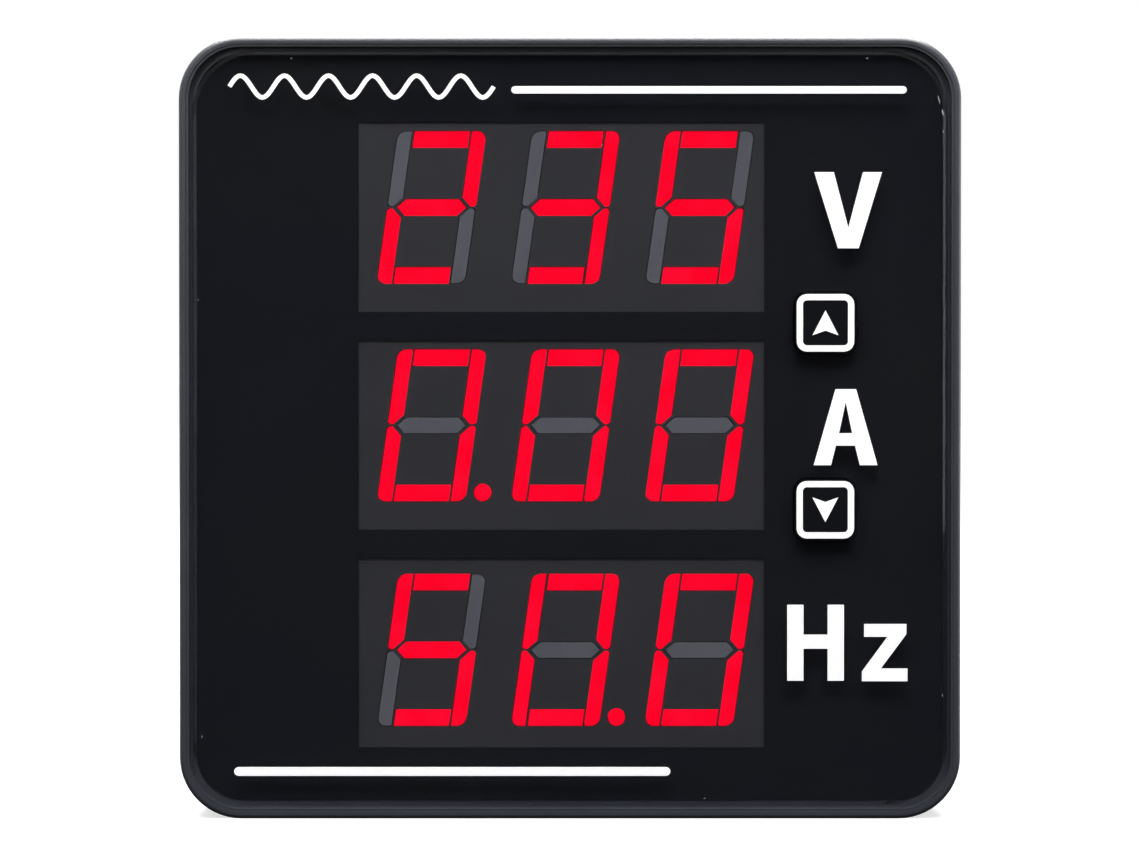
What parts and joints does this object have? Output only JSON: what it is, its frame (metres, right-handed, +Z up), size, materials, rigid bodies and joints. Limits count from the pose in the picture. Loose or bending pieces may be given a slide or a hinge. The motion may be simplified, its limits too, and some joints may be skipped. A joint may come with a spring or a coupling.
{
  "type": "digital panel meter",
  "caption": "Square digital panel meter with three red seven-segment rows for voltage, current and frequency, two keys, side panel clips and rear screw terminals",
  "frame": {"origin": "centre of the bezel's rear face, in the plane of the panel it seats on", "axes": "+X to the right seen from the front, +Y to the rear through the panel, +Z up; the face looks along -Y"},
  "size_m": [0.072, 0.092, 0.072],
  "materials": {
    "bezel_abs": "satin",
    "lens_acrylic": "gloss",
    "mask_film": "matte",
    "key_acrylic": "gloss",
    "switch_plunger": "matte",
    "switch_steel": "satin",
    "display_case": "matte",
    "lit_epoxy": "satin",
    "dark_epoxy": "satin",
    "tinned_wire": "satin",
    "circuit_board": "satin",
    "zinc_steel": "satin",
    "chip_epoxy": "matte",
    "housing_abs": "satin",
    "clip_nylon": "satin",
    "block_pbt": "satin",
    "contact_brass": "satin",
    "core_steel": "satin",
    "bobbin_nylon": "satin",
    "winding_copper": "satin",
    "potted_blue": "satin",
    "capacitor_sleeve": "gloss",
    "varistor_lacquer": "gloss"
  },
  "bodies": {
    "case": {"front_bezel": "bezel_abs", "front_lens": "lens_acrylic", "window_mask": "mask_film", "up_switch": "switch_steel", "down_switch": "switch_steel", "top_display": "display_case", "middle_display": "display_case", "bottom_display": "display_case", "top_lit_segments": "lit_epoxy", "middle_lit_segments": "lit_epoxy", "bottom_lit_segments": "lit_epoxy", "top_dark_segments": "dark_epoxy", "middle_dark_segments": "dark_epoxy", "bottom_dark_segments": "dark_epoxy", "display_pins": "tinned_wire", "display_board": "circuit_board", "display_board_screws": "zinc_steel", "display_chips": "chip_epoxy", "housing": "housing_abs", "rear_cover": "housing_abs", "rear_cover_screws": "zinc_steel", "terminal_block": "block_pbt", "terminal_contacts": "contact_brass", "main_board": "circuit_board", "board_header": "tinned_wire", "transformer_core": "core_steel", "transformer_bobbin": "bobbin_nylon", "transformer_winding": "winding_copper", "current_transformer": "potted_blue", "filter_capacitors": "capacitor_sleeve", "bridge_rectifier": "chip_epoxy", "voltage_regulator": "chip_epoxy", "varistor": "varistor_lacquer"},
    "up_key": {"up_key": "key_acrylic", "up_plunger": "switch_plunger"},
    "down_key": {"down_key": "key_acrylic", "down_plunger": "switch_plunger"},
    "left_clip": {"left_clip": "clip_nylon"},
    "right_clip": {"right_clip": "clip_nylon"},
    "terminal_clamp_1": {"terminal_clamp_1": "zinc_steel"},
    "terminal_screw_1": {"terminal_screw_1": "zinc_steel"},
    "terminal_clamp_2": {"terminal_clamp_2": "zinc_steel"},
    "terminal_screw_2": {"terminal_screw_2": "zinc_steel"},
    "terminal_clamp_3": {"terminal_clamp_3": "zinc_steel"},
    "terminal_screw_3": {"terminal_screw_3": "zinc_steel"},
    "terminal_clamp_4": {"terminal_clamp_4": "zinc_steel"},
    "terminal_screw_4": {"terminal_screw_4": "zinc_steel"},
    "terminal_clamp_5": {"terminal_clamp_5": "zinc_steel"},
    "terminal_screw_5": {"terminal_screw_5": "zinc_steel"},
    "terminal_clamp_6": {"terminal_clamp_6": "zinc_steel"},
    "terminal_screw_6": {"terminal_screw_6": "zinc_steel"}
  },
  "joints": [
    {"name": "up_key_press", "type": "slide", "parent": "case", "child": "up_key", "axis": [0, 1, 0], "range_m": [0, 0.0003], "stiffness_N_per_m": 1000},
    {"name": "down_key_press", "type": "slide", "parent": "case", "child": "down_key", "axis": [0, 1, 0], "range_m": [0, 0.0003], "stiffness_N_per_m": 1000},
    {"name": "left_clip_slide", "type": "slide", "parent": "case", "child": "left_clip", "axis": [0, 1, 0], "range_m": [-0.009, 0.025]},
    {"name": "right_clip_slide", "type": "slide", "parent": "case", "child": "right_clip", "axis": [0, 1, 0], "range_m": [-0.009, 0.025]},
    {"name": "terminal_clamp_1_lift", "type": "slide", "parent": "case", "child": "terminal_clamp_1", "axis": [0, 1, 0], "range_m": [0, 0.0025]},
    {"name": "terminal_screw_1_turn", "type": "hinge", "parent": "terminal_clamp_1", "child": "terminal_screw_1", "pos_m": [-0.024, 0.078, -0.016], "axis": [0, 1, 0], "range_deg": [0, 1800]},
    {"name": "terminal_clamp_2_lift", "type": "slide", "parent": "case", "child": "terminal_clamp_2", "axis": [0, 1, 0], "range_m": [0, 0.0025]},
    {"name": "terminal_screw_2_turn", "type": "hinge", "parent": "terminal_clamp_2", "child": "terminal_screw_2", "pos_m": [-0.0144, 0.078, -0.016], "axis": [0, 1, 0], "range_deg": [0, 1800]},
    {"name": "terminal_clamp_3_lift", "type": "slide", "parent": "case", "child": "terminal_clamp_3", "axis": [0, 1, 0], "range_m": [0, 0.0025]},
    {"name": "terminal_screw_3_turn", "type": "hinge", "parent": "terminal_clamp_3", "child": "terminal_screw_3", "pos_m": [-0.0048, 0.078, -0.016], "axis": [0, 1, 0], "range_deg": [0, 1800]},
    {"name": "terminal_clamp_4_lift", "type": "slide", "parent": "case", "child": "terminal_clamp_4", "axis": [0, 1, 0], "range_m": [0, 0.0025]},
    {"name": "terminal_screw_4_turn", "type": "hinge", "parent": "terminal_clamp_4", "child": "terminal_screw_4", "pos_m": [0.0048, 0.078, -0.016], "axis": [0, 1, 0], "range_deg": [0, 1800]},
    {"name": "terminal_clamp_5_lift", "type": "slide", "parent": "case", "child": "terminal_clamp_5", "axis": [0, 1, 0], "range_m": [0, 0.0025]},
    {"name": "terminal_screw_5_turn", "type": "hinge", "parent": "terminal_clamp_5", "child": "terminal_screw_5", "pos_m": [0.0144, 0.078, -0.016], "axis": [0, 1, 0], "range_deg": [0, 1800]},
    {"name": "terminal_clamp_6_lift", "type": "slide", "parent": "case", "child": "terminal_clamp_6", "axis": [0, 1, 0], "range_m": [0, 0.0025]},
    {"name": "terminal_screw_6_turn", "type": "hinge", "parent": "terminal_clamp_6", "child": "terminal_screw_6", "pos_m": [0.024, 0.078, -0.016], "axis": [0, 1, 0], "range_deg": [0, 1800]}
  ],
  "couplings": [
    {"joint": "terminal_screw_1_turn", "follows": "terminal_clamp_1_lift", "rad_per_m": 12566},
    {"joint": "terminal_screw_2_turn", "follows": "terminal_clamp_2_lift", "rad_per_m": 12566},
    {"joint": "terminal_screw_3_turn", "follows": "terminal_clamp_3_lift", "rad_per_m": 12566},
    {"joint": "terminal_screw_4_turn", "follows": "terminal_clamp_4_lift", "rad_per_m": 12566},
    {"joint": "terminal_screw_5_turn", "follows": "terminal_clamp_5_lift", "rad_per_m": 12566},
    {"joint": "terminal_screw_6_turn", "follows": "terminal_clamp_6_lift", "rad_per_m": 12566}
  ]
}
